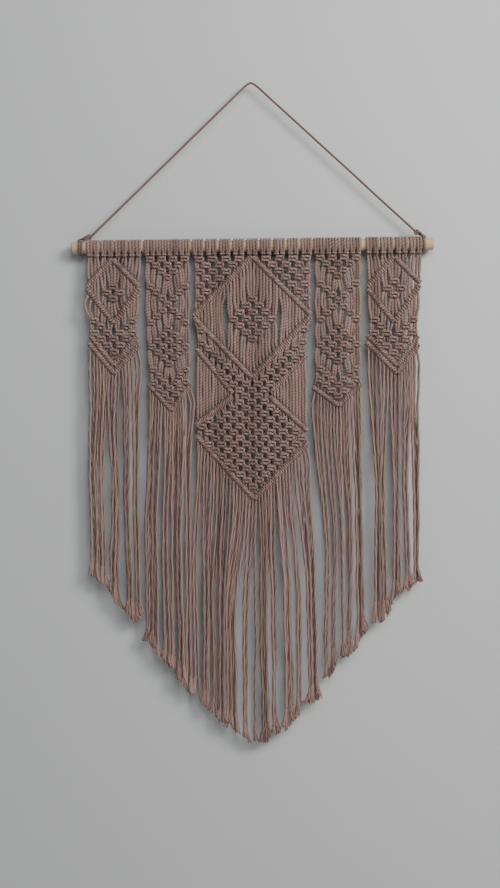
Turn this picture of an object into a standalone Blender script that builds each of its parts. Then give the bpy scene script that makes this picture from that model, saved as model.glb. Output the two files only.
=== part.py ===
"""Macrame wall hanging on a wooden dowel, hung by a cord from a nail.

World frame: metres, +Z up, +X along the dowel, the wall on the +Y side. The
origin is under the bend of the hanging cord, where the nail carries it.
The sizes and tables below are in millimetres, as (x, drop): x runs along the
dowel from the nail's plumb line, and drop is the distance below the dowel's
centre line. MM turns them into metres.
"""

import math
from collections import namedtuple

import bmesh
import bpy
from mathutils import Vector
from mathutils.geometry import convex_hull_2d

MM = 0.001
TO_WALL = Vector((0.0, 1.0, 0.0))

# Driving sizes
DOWEL_LENGTH = 600.0
DOWEL_RADIUS = 10.0
DOWEL_ROUNDING = 1.6
DOWEL_BELOW_NAIL = 268.0
CORD = 4.6
GAP = 0.3

# Depth of the cloth: its middle plane and how thick its stretches are
CLOTH_Y = -6.5
FLOAT_THICK = 4.6
KNOT_THICK = 9.2
RIDGE_Y = -7.2
RIDGE_HALF = 4.3
RIDGE_SIDES = 8

# Lark's heads on the dowel: a wrapped ring and the bar below its front
WRAP_INNER = DOWEL_RADIUS + GAP
WRAP_OUTER = WRAP_INNER + CORD - 0.2
WRAP_SIDES = 18
BAR_Y = -9.5
BAR_DROP = 14.5
BAR_RADIUS = 2.4
BAR_SIDES = 8
HEADING_BOTTOM = 17.2
HEAD_HALF = 4.7

PANEL_TOP = HEADING_BOTTOM + GAP

# Fringe combs: the solid band under a panel's V, and the clumps below it
BAND_DEPTH = 34.0
CLUMP_THICK = 5.4
CLUMP_SIDES = 8
CLUMP_INTO_BAND = 16.0

HITCH_ARM_SIDES = 8

Panel = namedtuple("Panel", "name first_pair last_pair pairs head_spacing")
PANELS = (
    Panel("1", -263.4, -194.0, 4, 11.9),
    Panel("2", -169.8, -112.6, 4, 9.5),
    Panel("3", -90.6, 89.0, 9, 9.7),
    Panel("4", 109.8, 169.6, 4, 9.5),
    Panel("5", 197.4, 269.2, 4, 11.9),
)

# Outer form of each panel, down to the middle of the ridge along its V
OUTLINES = {
    "1": ((-274, PANEL_TOP), (-274, 74), (-278.5, 92), (-278, 112), (-273, 124), (-272, 158),
          (-231, 208), (-189, 165), (-190, 124), (-186.5, 66), (-184, PANEL_TOP)),
    "2": ((-179, PANEL_TOP), (-178, 120), (-174, 227), (-136, 270), (-105, 228),
          (-103.5, 120), (-103.5, PANEL_TOP)),
    "3": ((-99, PANEL_TOP), (-99, 300), (-96, 313), (-2, 418), (87, 327), (93, 312),
          (96, 120), (98.5, PANEL_TOP)),
    "4": ((101, PANEL_TOP), (101, 120), (97.5, 235), (139, 264.5), (176.5, 230),
          (178, 120), (179, PANEL_TOP)),
    "5": ((188, PANEL_TOP), (188, 124), (186, 163), (236, 213), (271.5, 167),
          (274, 124), (277, 66), (280, PANEL_TOP)),
}

# The largest gaps in the net: the slits beside the middle diamond
SLITS = {
    "3": (((-44, 102), (-40, 90), (-38.5, 104), (-38.5, 150), (-41, 166), (-44, 152)),
          ((40, 102), (44, 90), (46, 104), (46, 152), (43, 166), (40, 152))),
}

# Stretches of square knots, twice as thick as the floating cords
KNOT_ZONES = {
    "1": (((-243, 62), (-222, 62), (-218, 76), (-222, 90), (-243, 90), (-246, 76)),
          ((-270, 118), (-262, 118), (-231, 132), (-200, 118), (-192, 118), (-192, 143),
           (-231, 188), (-270, 143))),
    "2": (((-178, 18.2), (-104.5, 18.2), (-141, 58)),
          ((-176, 61), (-164, 61), (-141, 92), (-118, 61), (-106, 61), (-136, 101),
           (-106, 131), (-118, 131), (-141, 109), (-164, 131), (-176, 131), (-146, 101)),
          ((-141, 130), (-106, 165), (-141, 200), (-176, 165)),
          ((-175, 198), (-163, 198), (-141, 214), (-117, 198), (-105, 198), (-105, 226),
           (-137, 264), (-173, 226))),
    "3": (((-98, 18.2), (-12, 18.2), (-98, 104)),
          ((10, 18.2), (97, 18.2), (95, 104)),
          ((-2, 84), (36, 118), (-2, 162), (-36, 118)),
          ((-97, 122), (-4, 226), (93, 122), (90, 176), (27, 244), (-37, 244), (-94, 166)),
          ((-36, 243), (26, 243), (90, 310), (88, 322), (-2, 413), (-96, 310))),
    "4": (((102, 18.2), (178, 18.2), (140, 58)),
          ((103, 61), (116, 61), (139, 90), (163, 61), (175, 61), (145, 101),
           (175, 131), (163, 131), (139, 110), (116, 131), (103, 131), (133, 101)),
          ((139, 130), (174, 165), (139, 200), (103, 165)),
          ((100, 200), (114, 200), (139, 216), (164, 200), (176, 200), (175, 228),
           (139, 259), (100, 233))),
    "5": (((222, 58), (243, 58), (247, 73), (243, 88), (222, 88), (218, 73)),
          ((190, 121), (200, 121), (233, 136), (264, 121), (272, 121), (271, 147),
           (236, 195), (189, 147))),
}

Ridge = namedtuple("Ridge", "panel start middle end")
RIDGES = (
    Ridge("1", (-272, 64), (-232, 24.5), (-189, 65)),
    Ridge("1", (-272, 66), (-230, 125), (-189, 67)),
    Ridge("1", (-269, 147), (-231, 194), (-193, 148)),
    Ridge("1", (-271, 159), (-231, 208), (-190, 165)),
    Ridge("2", (-173.5, 228), (-136, 270), (-105, 228)),
    Ridge("3", (-97, 114), (-1, 24.5), (93, 115)),
    Ridge("3", (-97, 116), (-3.6, 218), (93, 117)),
    Ridge("3", (-94, 170), (-66, 206), (-37, 243)),
    Ridge("3", (87, 181), (57, 212), (27, 243)),
    Ridge("3", (-96, 298), (-66, 273), (-37, 248)),
    Ridge("3", (88, 309), (57, 279), (26, 248)),
    Ridge("3", (-95, 314), (-2, 418), (86, 328)),
    Ridge("4", (98, 235), (139, 264.5), (176, 230)),
    Ridge("5", (190, 70), (233, 24.5), (273, 65)),
    Ridge("5", (190, 72), (232, 129), (273, 67)),
    Ridge("5", (189, 153), (236, 201), (270, 153)),
    Ridge("5", (186, 163), (236, 213), (271, 167)),
)

# The V that each fringe hangs from: the panel's lowest ridge, end to end
V_EDGES = {
    "1": ((-274, 155.5), (-231, 208), (-187, 161)),
    "2": ((-176.5, 224.5), (-136, 270), (-102.5, 224.5)),
    "3": ((-98, 310.5), (-2, 418), (90, 324)),
    "4": ((95, 233), (139, 264.5), (179, 227.5)),
    "5": ((184, 161), (236, 213), (275, 162)),
}

# The diagonal line along which each fringe is cut
CUT_LINES = {
    "1": ((-276, 536), (-250, 560), (-232, 585), (-202, 621), (-190, 616)),
    "2": ((-184, 647), (-164, 674), (-120, 728), (-105, 742)),
    "3": ((-100, 745), (-64, 790), (-47, 792), (-16, 822), (9.5, 823), (47, 799), (80, 762),
          (99, 752)),
    "4": ((104, 723), (117, 716), (135, 690), (162, 667), (186, 640)),
    "5": ((194, 629), (215.5, 616), (231, 582), (268, 560)),
}

# A row for each clump of fringe cords that hang together
Clump = namedtuple("Clump", "fringe top_x foot_x width sway")
CLUMPS = (
    Clump("1", -261.0, -262.0, 25.0, 1.2),
    Clump("1", -236.5, -232.5, 15.0, -2.4),
    Clump("1", -203.0, -203.0, 23.0, 1.4),
    Clump("2", -168.0, -178.0, 12.0, 1.5),
    Clump("2", -150.0, -155.5, 27.0, -1.0),
    Clump("2", -130.5, -132.5, 7.0, 1.2),
    Clump("2", -114.0, -115.5, 17.0, -0.8),
    Clump("3", -84.5, -87.5, 22.0, 0.8),
    Clump("3", -58.0, -55.5, 25.0, -1.2),
    Clump("3", -38.5, -34.0, 7.5, 1.0),
    Clump("3", -20.5, -15.0, 21.0, -1.0),
    Clump("3", 9.0, 16.5, 27.0, 1.2),
    Clump("3", 37.0, 49.0, 16.5, -1.0),
    Clump("3", 57.0, 67.0, 12.0, 1.0),
    Clump("3", 77.0, 87.5, 20.0, -0.6),
    Clump("4", 108.5, 115.5, 20.0, 1.0),
    Clump("4", 132.5, 143.0, 18.0, -1.4),
    Clump("4", 151.0, 164.0, 8.0, 0.8),
    Clump("4", 167.0, 177.5, 15.0, 1.0),
    Clump("5", 196.5, 202.0, 15.0, -0.8),
    Clump("5", 220.0, 228.5, 19.0, 1.2),
    Clump("5", 256.0, 254.5, 25.0, 0.8),
)
CLUMP_STATIONS = ((0.0, 1.0), (0.3, 0.94), (0.62, 0.9), (0.86, 0.92), (1.0, 1.04))

# Hanging cord: places along its middle from the left hitch over the nail to
# the right hitch, as (x, height above the origin)
CORD_ROUTE = (
    (-264.0, -246.1), (-250.0, -232.8), (-228.0, -211.8), (-198.0, -183.1), (-162.0, -148.8),
    (-124.0, -112.4), (-86.0, -76.2), (-50.0, -41.8), (-25.0, -18.0), (-10.0, -4.0),
    (0.0, 2.3), (10.0, -3.7), (26.0, -18.5), (54.0, -44.6), (90.0, -78.2), (128.0, -113.8),
    (164.0, -147.2), (200.0, -181.4), (234.0, -213.2), (256.0, -233.6), (269.6, -246.3),
)
CORD_STEP = 2.5 * CORD

Hitch = namedtuple("Hitch", "name ring_start ring_end arm lump_radius")
HITCHES = (
    Hitch("hitch_left", -290.0, -279.6,
          ((-285.5, -12.6), (-275.5, -17.8), (-268.4, -18.4), (-264.4, -21.5)), 2.7),
    Hitch("hitch_right", 280.6, 287.6,
          ((285.5, -13.6), (280.5, -19.2), (274.5, -19.0), (270.0, -21.3)), 2.9),
)

COTTON = ("cotton_cord", (0.262, 0.180, 0.154), 0.95)
WOOD = ("beech_dowel", (0.610, 0.455, 0.314), 0.6)


def clear_scene():
    for old in list(bpy.data.objects):
        bpy.data.objects.remove(old, do_unlink=True)


def material(name, colour, roughness):
    made = bpy.data.materials.get(name)
    if made is None:
        made = bpy.data.materials.new(name)
        made.use_nodes = True
        shader = made.node_tree.nodes["Principled BSDF"]
        shader.inputs["Base Color"].default_value = (*colour, 1.0)
        shader.inputs["Roughness"].default_value = roughness
        shader.inputs["Metallic"].default_value = 0.0
    return made


def place(x, y, drop):
    """World point of a place given along, in front of and below the dowel's middle."""
    return Vector((x, y, -DOWEL_BELOW_NAIL - drop)) * MM


def new_object(name, bm, finish):
    mesh = bpy.data.meshes.new(name)
    bmesh.ops.recalc_face_normals(bm, faces=bm.faces)
    bm.to_mesh(mesh)
    bm.free()
    ob = bpy.data.objects.new(name, mesh)
    bpy.context.scene.collection.objects.link(ob)
    mesh.materials.append(material(*finish))
    return ob


def loop_of(bm, points):
    verts = [bm.verts.new(p) for p in points]
    return [bm.edges.new((a, b)) for a, b in zip(verts, verts[1:] + verts[:1])]


def plate(name, outline, holes, thick, finish):
    """A flat piece of cloth: an outline of (x, drop) places with holes, given its thickness."""
    bm = bmesh.new()
    back = CLOTH_Y + thick / 2
    edges = loop_of(bm, [place(x, back, drop) for x, drop in outline])
    for hole in holes:
        edges += loop_of(bm, [place(x, back, drop) for x, drop in hole])
    bmesh.ops.triangle_fill(bm, use_beauty=True, edges=edges)
    grown = bmesh.ops.extrude_face_region(bm, geom=bm.faces[:])
    moved = [v for v in grown["geom"] if isinstance(v, bmesh.types.BMVert)]
    bmesh.ops.translate(bm, verts=moved, vec=(0.0, -thick * MM, 0.0))
    return new_object(name, bm, finish)


def skin(bm, rings):
    """Closes a row of equal rings of points into one tube with flat ends."""
    for one, two in zip(rings, rings[1:]):
        for k in range(len(one)):
            after = (k + 1) % len(one)
            bm.faces.new((one[k], one[after], two[after], two[k]))
    bm.faces.new(rings[0])
    bm.faces.new(rings[-1])


def ring_around(side, radius, stretch, sides):
    """A ring of points about a path of one depth, stretched sideways where the path bends."""
    turns = [2 * math.pi * (i + 0.5) / sides for i in range(sides)]
    return [side * (math.cos(t) * radius * stretch) + TO_WALL * (math.sin(t) * radius)
            for t in turns]


def bar(name, path, y, half, sides, finish):
    """A straight-sided round bar along (x, drop) places at one depth, half across its flats."""
    points = [place(x, y, drop) for x, drop in path]
    radius = half * MM / math.cos(math.pi / sides)
    bm = bmesh.new()
    rings = []
    for i, at in enumerate(points):
        before = points[max(i - 1, 0)]
        after = points[min(i + 1, len(points) - 1)]
        tangent = (after - before).normalized()
        into = (at - before).normalized() if i else tangent
        side = TO_WALL.cross(tangent).normalized()
        ring = ring_around(side, radius, 1.0 / into.dot(tangent), sides)
        rings.append([bm.verts.new(at + p) for p in ring])
    skin(bm, rings)
    return new_object(name, bm, finish)


def join(base, pieces):
    """Unites pieces with a base by Boolean modifiers, and hides them as its tools."""
    for piece in pieces:
        union = base.modifiers.new("with_" + piece.name, "BOOLEAN")
        union.operation = "UNION"
        union.solver = "EXACT"
        union.object = piece
        piece.hide_render = True
        piece.display_type = "WIRE"


def make_dowel():
    bm = bmesh.new()
    made = bmesh.ops.create_cone(bm, cap_ends=True, segments=32, radius1=DOWEL_RADIUS * MM,
                                 radius2=DOWEL_RADIUS * MM, depth=DOWEL_LENGTH * MM)
    for vert in made["verts"]:
        vert.co = Vector((vert.co.z, vert.co.y, -vert.co.x))
    bm.transform(bpy.data.objects["hanging"].matrix_world)
    dowel = new_object("dowel", bm, WOOD)
    soften = dowel.modifiers.new("rounded_ends", "BEVEL")
    soften.width = DOWEL_ROUNDING * MM
    soften.segments = 2
    soften.limit_method = "ANGLE"
    soften.angle_limit = math.radians(40)
    dowel.data.shade_smooth()
    dowel.data.set_sharp_from_angle(angle=math.radians(35))


def circle(y, drop, radius, sides):
    """(y, drop) corners of a round section."""
    turns = [2 * math.pi * i / sides for i in range(sides)]
    return [(y + radius * math.cos(t), drop + radius * math.sin(t)) for t in turns]


def heading_section():
    """(y, drop) outer outline of a lark's head, seen along the dowel."""
    outer = circle(0.0, 0.0, WRAP_OUTER, WRAP_SIDES)
    outer += circle(BAR_Y, BAR_DROP, BAR_RADIUS, BAR_SIDES)
    outer += [(CLOTH_Y - FLOAT_THICK / 2, HEADING_BOTTOM),
              (CLOTH_Y + FLOAT_THICK / 2, HEADING_BOTTOM)]
    return [outer[i] for i in convex_hull_2d([Vector(p) for p in outer])]


def wrap_bore():
    """(y, drop) loop just clear of the dowel, for what is wrapped around it."""
    return circle(0.0, 0.0, WRAP_INNER / math.cos(math.pi / WRAP_SIDES), WRAP_SIDES)


def sleeve(name, start, end, outer, inner, finish):
    """A piece around the dowel with one section from start to end along it."""
    bm = bmesh.new()
    edges = loop_of(bm, [place(start, y, drop) for y, drop in outer])
    edges += loop_of(bm, [place(start, y, drop) for y, drop in inner])
    bmesh.ops.triangle_fill(bm, use_beauty=True, edges=edges)
    grown = bmesh.ops.extrude_face_region(bm, geom=bm.faces[:])
    moved = [v for v in grown["geom"] if isinstance(v, bmesh.types.BMVert)]
    bmesh.ops.translate(bm, verts=moved, vec=((end - start) * MM, 0.0, 0.0))
    return new_object(name, bm, finish)


def pair_centres(panel):
    pitch = (panel.last_pair - panel.first_pair) / (panel.pairs - 1)
    return [panel.first_pair + pitch * i for i in range(panel.pairs)]


def make_headings():
    outer = heading_section()
    count = 0
    for panel in PANELS:
        reach = panel.head_spacing / 2 + HEAD_HALF
        for centre in pair_centres(panel):
            count += 1
            name = f"lark_heads_{count:02d}"
            sleeve(name, centre - reach, centre + reach, outer, wrap_bore(), COTTON)


def make_panel(name):
    panel = plate("panel_" + name, OUTLINES[name], SLITS.get(name, ()), FLOAT_THICK, COTTON)
    pieces = [
        plate(f"knots_{name}_{i}", zone, (), KNOT_THICK, COTTON)
        for i, zone in enumerate(KNOT_ZONES[name])
    ]
    ridges = [r for r in RIDGES if r.panel == name]
    for i, ridge in enumerate(ridges):
        path = (ridge.start, ridge.middle, ridge.end)
        pieces.append(bar(f"ridge_{name}_{i}", path, RIDGE_Y, RIDGE_HALF, RIDGE_SIDES, COTTON))
    join(panel, pieces)


def along(line, x):
    """Drop of a broken line of (x, drop) places at x, run straight on past its ends."""
    last = len(line) - 2
    for i, (one, two) in enumerate(zip(line, line[1:])):
        if x <= two[0] or i == last:
            return one[1] + (two[1] - one[1]) * (x - one[0]) / (two[0] - one[0])


def below(v_edge, x):
    """Drop of the fringe's top at x: clear of the ridge above it, square to its slope."""
    left, middle, right = v_edge
    clear = RIDGE_HALF + GAP + 0.1
    shift = max(clear * math.hypot(b[0] - a[0], b[1] - a[1]) / abs(b[0] - a[0])
                for a, b in ((left, middle), (middle, right)))
    return along(v_edge, x) + shift


def clump(name, row):
    """One clump of cords: a soft flat bundle that sways and ends on the cut line."""
    start = below(V_EDGES[row.fringe], row.top_x) + CLUMP_INTO_BAND
    foot = along(CUT_LINES[row.fringe], row.foot_x)
    bm = bmesh.new()
    rings = []
    for share, swell in CLUMP_STATIONS:
        middle = row.top_x + (row.foot_x - row.top_x) * min(share * 1.8, 1.0)
        middle += row.sway * math.sin(2.6 * math.pi * share)
        drop = start + (foot - start) * share
        ring = []
        for i in range(CLUMP_SIDES):
            turn = 2 * math.pi * (i + 0.5) / CLUMP_SIDES
            x = middle + row.width * swell / 2 * math.cos(turn) / math.cos(math.pi / CLUMP_SIDES)
            y = CLOTH_Y + 0.4 * row.sway + CLUMP_THICK / 2 * math.sin(turn)
            cut = along(CUT_LINES[row.fringe], x) if share == 1.0 else drop
            ring.append(bm.verts.new(place(x, y, cut)))
        rings.append(ring)
    skin(bm, rings)
    return new_object(name, bm, COTTON)


def make_fringe(name):
    v_edge = V_EDGES[name]
    top = [(x, below(v_edge, x)) for x, drop in v_edge]
    foot = [(x, drop + BAND_DEPTH) for x, drop in reversed(top)]
    fringe = plate("fringe_" + name, top + foot, (), FLOAT_THICK - 0.3, COTTON)
    rows = [row for row in CLUMPS if row.fringe == name]
    join(fringe, [clump(f"clump_{name}_{i}", row) for i, row in enumerate(rows)])


def make_hitch(hitch):
    outer = circle(0.0, 0.0, WRAP_OUTER, WRAP_SIDES)
    ring = sleeve(hitch.name, hitch.ring_start, hitch.ring_end, outer, wrap_bore(), COTTON)
    arm = bar(hitch.name + "_arm", hitch.arm, 0.0, hitch.lump_radius, HITCH_ARM_SIDES, COTTON)
    join(ring, [arm])


def smooth_route(places, step):
    """Points at an even step along a smooth curve through places (Catmull-Rom)."""
    fine = []
    padded = [places[0], *places, places[-1]]
    for i in range(1, len(padded) - 2):
        p0, p1, p2, p3 = (Vector(padded[j]) for j in range(i - 1, i + 3))
        for k in range(24):
            t = k / 24
            fine.append(0.5 * (2 * p1 + (p2 - p0) * t + (2 * p0 - 5 * p1 + 4 * p2 - p3) * t ** 2
                               + (3 * p1 - p0 - 3 * p2 + p3) * t ** 3))
    fine.append(Vector(places[-1]))
    run = [0.0]
    for a, b in zip(fine, fine[1:]):
        run.append(run[-1] + (b - a).length)
    count = round(run[-1] / step)
    even, at = [], 0
    for i in range(count + 1):
        want = run[-1] * i / count
        while at < len(run) - 2 and run[at + 1] < want:
            at += 1
        share = (want - run[at]) / (run[at + 1] - run[at])
        even.append(fine[at].lerp(fine[at + 1], min(share, 1.0)))
    return even


def make_hanging_cord():
    curve = bpy.data.curves.new("hanging_cord", "CURVE")
    curve.dimensions = "3D"
    curve.bevel_depth = CORD / 2 * MM
    curve.bevel_resolution = 2
    curve.use_fill_caps = True
    points = smooth_route(CORD_ROUTE, CORD_STEP)
    spline = curve.splines.new("POLY")
    spline.points.add(len(points) - 1)
    for point, (x, z) in zip(spline.points, points):
        point.co = (x * MM, 0.0, z * MM, 1.0)
    ob = bpy.data.objects.new("hanging_cord", curve)
    bpy.context.scene.collection.objects.link(ob)
    curve.materials.append(material(*COTTON))


def main():
    clear_scene()
    hanging = bpy.data.objects.new("hanging", None)
    hanging.location = (0.0, 0.0, -DOWEL_BELOW_NAIL * MM)
    bpy.context.scene.collection.objects.link(hanging)
    bpy.context.view_layer.update()
    make_dowel()
    make_headings()
    for panel in PANELS:
        make_panel(panel.name)
        make_fringe(panel.name)
    for hitch in HITCHES:
        make_hitch(hitch)
    make_hanging_cord()


main()
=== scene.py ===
"""Macrame wall hanging: every cord is followed from the dowel to its fringe tip.

The frame gives the places: the dowel, the sleeves of the lark's heads, the
panels and the fringes. Lengths here are millimetres unless a name says
otherwise; a place is (x, y, drop), with drop measured down from the dowel's
middle and y growing towards the wall. world() turns places into metres.
"""

import math
import random
from collections import namedtuple

import bpy
import numpy as np
from mathutils import Matrix, Vector

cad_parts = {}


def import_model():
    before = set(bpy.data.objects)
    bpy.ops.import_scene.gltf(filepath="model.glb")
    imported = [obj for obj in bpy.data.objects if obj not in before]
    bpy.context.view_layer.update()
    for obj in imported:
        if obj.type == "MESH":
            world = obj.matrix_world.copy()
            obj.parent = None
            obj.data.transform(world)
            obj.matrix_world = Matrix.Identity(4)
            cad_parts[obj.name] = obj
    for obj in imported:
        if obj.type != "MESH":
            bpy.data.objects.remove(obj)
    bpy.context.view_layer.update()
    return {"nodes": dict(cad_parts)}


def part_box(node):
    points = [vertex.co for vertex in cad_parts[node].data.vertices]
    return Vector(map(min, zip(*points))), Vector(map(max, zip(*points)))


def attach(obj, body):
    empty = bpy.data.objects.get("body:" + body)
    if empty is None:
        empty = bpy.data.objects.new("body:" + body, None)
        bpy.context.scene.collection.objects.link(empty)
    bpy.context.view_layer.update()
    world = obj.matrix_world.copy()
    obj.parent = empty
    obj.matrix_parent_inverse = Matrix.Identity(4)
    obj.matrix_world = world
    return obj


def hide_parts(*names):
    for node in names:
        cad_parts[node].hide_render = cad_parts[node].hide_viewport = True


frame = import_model()

MM = 0.001
WAVE_TURN = 6.28  # a whole turn, closely enough for waves
rng = random.Random(157)

# The dowel, and how far in front of its middle the cloth and its ridges hang
DOWEL_BOX = [np.array(corner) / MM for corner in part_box("dowel")]
DOWEL_MIDDLE = (DOWEL_BOX[0] + DOWEL_BOX[1]) / 2
DOWEL_RADIUS = (DOWEL_BOX[1][2] - DOWEL_BOX[0][2]) / 2
CLOTH_Y = -6.5
RIDGE_Y = CLOTH_Y - 0.9

# Radius of a cord in the fringe, afloat between knots, in a square knot, in the
# turns of a ridge, inside a ridge, flattened on the dowel, and over the nail
CORD_RADIUS = 2.2
FLOAT_RADIUS = 2.5
KNOT_RADIUS = 2.15
RIDGE_RADIUS = 2.05
CARRIER_RADIUS = 1.2
WRAP_RADIUS = 1.65
HANGING_RADIUS = 1.9
HANGING_TONE = -0.2  # darker than every other cord, whose tones are 0 to 1

# Twist of a cord, and how deep the grooves of a loosened one are beside its plies
PLIES = 3
PLY_TURN_MM = 15.0
PLY_GROOVE, PLY_CREST = 0.66, 1.07
TWIST_SHIFT_MM = 60  # how much the twist starts later from one cord to another

# A cord frays into yarns, each with this part of the cord's twist on its surface
YARNS = 9
YARN_START, YARN_PART = 0.07, 0.2

# Sides of a tube: knotted, loosened, a yarn, and the hanging cord
TUBE_SIDES, LOOSE_SIDES, TIP_SIDES, LINE_SIDES = 8, 9, 5, 12

# How far apart the rings of a tube lie, by the piece it belongs to
RING_STEP = {"heading": 2.8, "net": 8.0, "knots": 2.3, "ridges": 2.1, "fringe": 4.0}
PIECE_NAMES = {"heading": "heading_", "net": "net_", "knots": "square_knots_",
               "ridges": "half_hitches_", "fringe": "loose_ends_"}


# ---------------------------------------------------------------- the design

# Each panel's edges, as rows of (drop, left, right)
EDGES = {
    "1": ((17, -274.3, -183.0), (66, -275.0, -187.5), (125, -273.5, -189.5), (165, -271.0, -190.0)),
    "2": ((17, -179.6, -103.2), (120, -178.5, -103.5), (228, -174.5, -104.5)),
    "3": ((17, -99.8, 98.4), (115, -98.5, 95.0), (175, -95.0, 88.0), (300, -97.0, 87.0),
          (320, -96.0, 88.0)),
    "4": ((17, 100.8, 179.4), (120, 100.5, 178.5), (232, 97.5, 177.0)),
    "5": ((17, 187.4, 280.0), (66, 188.5, 276.0), (128, 188.5, 273.5), (165, 186.0, 271.5)),
}
CORDS = {"1": 16, "2": 16, "3": 36, "4": 16, "5": 16}

# Rows of square knots, each knot by the first of its four cords, and the rows'
# drops; the corner rows are mirrored in the other half of the middle panel
LOZENGE_ROWS = (
    (0, 4, 8, 12), (2, 6, 10), (4, 8), (6,), (0, 12), (2, 10), (4, 8), (6,), (4, 8), (2, 10),
    (0, 12), (6,), (4, 8), (2, 6, 10), (0, 4, 8, 12), (2, 6, 10), (4, 8), (6,), (0, 12), (2, 10),
    (0, 4, 8, 12), (2, 6, 10), (4, 8), (6,),
)
LOZENGE_DROPS = {
    "2": (21.8, 31.3, 41.5, 51.4, 66, 76, 86, 96, 106, 115.5, 125.5, 136, 146, 156, 165.5, 174.5,
          183.5, 193.5, 203.5, 214, 224, 234, 243.5, 253.5),
    "4": (22, 31.5, 42, 51.5, 64, 73.5, 83, 92.5, 102.5, 112.5, 123, 135, 145, 155, 165, 174,
          183, 192.5, 205, 213.5, 222.5, 231.5, 241, 250.5),
}
CLUSTER_ROWS = ((6,), (4, 8), (6,))
CLUSTER_DROPS = {"1": (66, 75.5, 86), "5": (62, 73, 84)}
CHEVRON_ROWS = ((0, 12), (2, 10), (0, 4, 8, 12), (2, 6, 10), (4, 8), (6,))
CHEVRON_DROPS = {"1": (121.5, 131.5, 142, 152, 162.5, 173.5), "5": (125.5, 135.5, 147, 157.5, 169, 179)}
CORNER_ROWS = ((0, 4, 8, 12), (2, 6, 10), (0, 4, 8), (2, 6), (0, 4), (2,), (0,))
CORNER_DROPS = (22.5, 32.4, 43, 53.6, 64.7, 76.0, 86.8)
INNER_ROWS = ((16,), (14, 18), (12, 16, 20), (10, 14, 18, 22), (12, 16, 20), (14, 18), (16,))
INNER_DROPS = (89, 99.5, 110.5, 121.5, 132.5, 143.5, 154)

# The middle panel's lattice: its first row, the distance between rows, the room that a
# knot needs below one ridge and above the next, and where across the knot it is needed
LATTICE_TOP = 119.8
LATTICE_PITCH = 9.9
LATTICE_ROWS = 30
ROOM_BELOW_RIDGE, ROOM_ABOVE_RIDGE = 3.2, 4.0
ROOM_ASIDE = (-4, 0, 4)

# The waist lies between the ridges' inner ends, where no ridge bounds the lattice
WAIST_DROP = 246.0
WAIST_X = (-30, 20)
NO_RIDGE_ABOVE, NO_RIDGE_BELOW = 0, 999

# A ridge of double half hitches: its left and right end as (x, drop), and the first
# and last of the cords that cross it
Ridge = namedtuple("Ridge", "left right first last")
RIDGES = {
    "diamond_1": (Ridge((-274, 65), (-232.5, 21), 0, 7), Ridge((-231, 21), (-188, 66), 8, 15),
                  Ridge((-274, 68), (-231, 126), 0, 7), Ridge((-230, 126), (-188, 69), 8, 15)),
    "v_1": (Ridge((-270, 145), (-231.5, 195), 0, 7), Ridge((-230.5, 195), (-191.5, 146), 8, 15),
            Ridge((-272, 158), (-231.5, 208.5), 0, 7), Ridge((-230.5, 208.5), (-188.5, 162), 8, 15)),
    "v_2": (Ridge((-175, 226.5), (-137, 270), 0, 7), Ridge((-136, 270), (-104, 226), 8, 15)),
    "top_3": (Ridge((-99, 115.5), (-1.5, 19), 0, 17), Ridge((-0.5, 19), (94.5, 116), 18, 35)),
    "low_3": (Ridge((-99, 118), (-4, 218.5), 0, 17), Ridge((-3, 218.5), (94.5, 118.5), 18, 35)),
    "belt_3": (Ridge((-94.5, 170), (-36, 243), 0, 11), Ridge((26, 243.5), (87, 181.5), 24, 35)),
    "hip_3": (Ridge((-97, 296), (-36, 250), 0, 11), Ridge((25, 249.5), (87, 307), 24, 35)),
    "v_3": (Ridge((-96.5, 313), (-2.5, 418), 0, 17), Ridge((-1.5, 418), (88, 326), 18, 35)),
    "v_4": (Ridge((96.5, 235), (138.5, 265.5), 0, 7), Ridge((139.5, 265.5), (177, 229.5), 8, 15)),
    "diamond_5": (Ridge((188.5, 71), (232.5, 22), 0, 7), Ridge((233.5, 22), (276, 65), 8, 15),
                  Ridge((188.5, 74), (231.5, 129), 0, 7), Ridge((232.5, 129), (275, 68), 8, 15)),
    "v_5": (Ridge((187, 150), (235.5, 201), 0, 7), Ridge((236.5, 201), (271.5, 152), 8, 15),
            Ridge((185.5, 162), (235.5, 213.5), 0, 7), Ridge((236.5, 213.5), (272, 166), 8, 15)),
}

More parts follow.
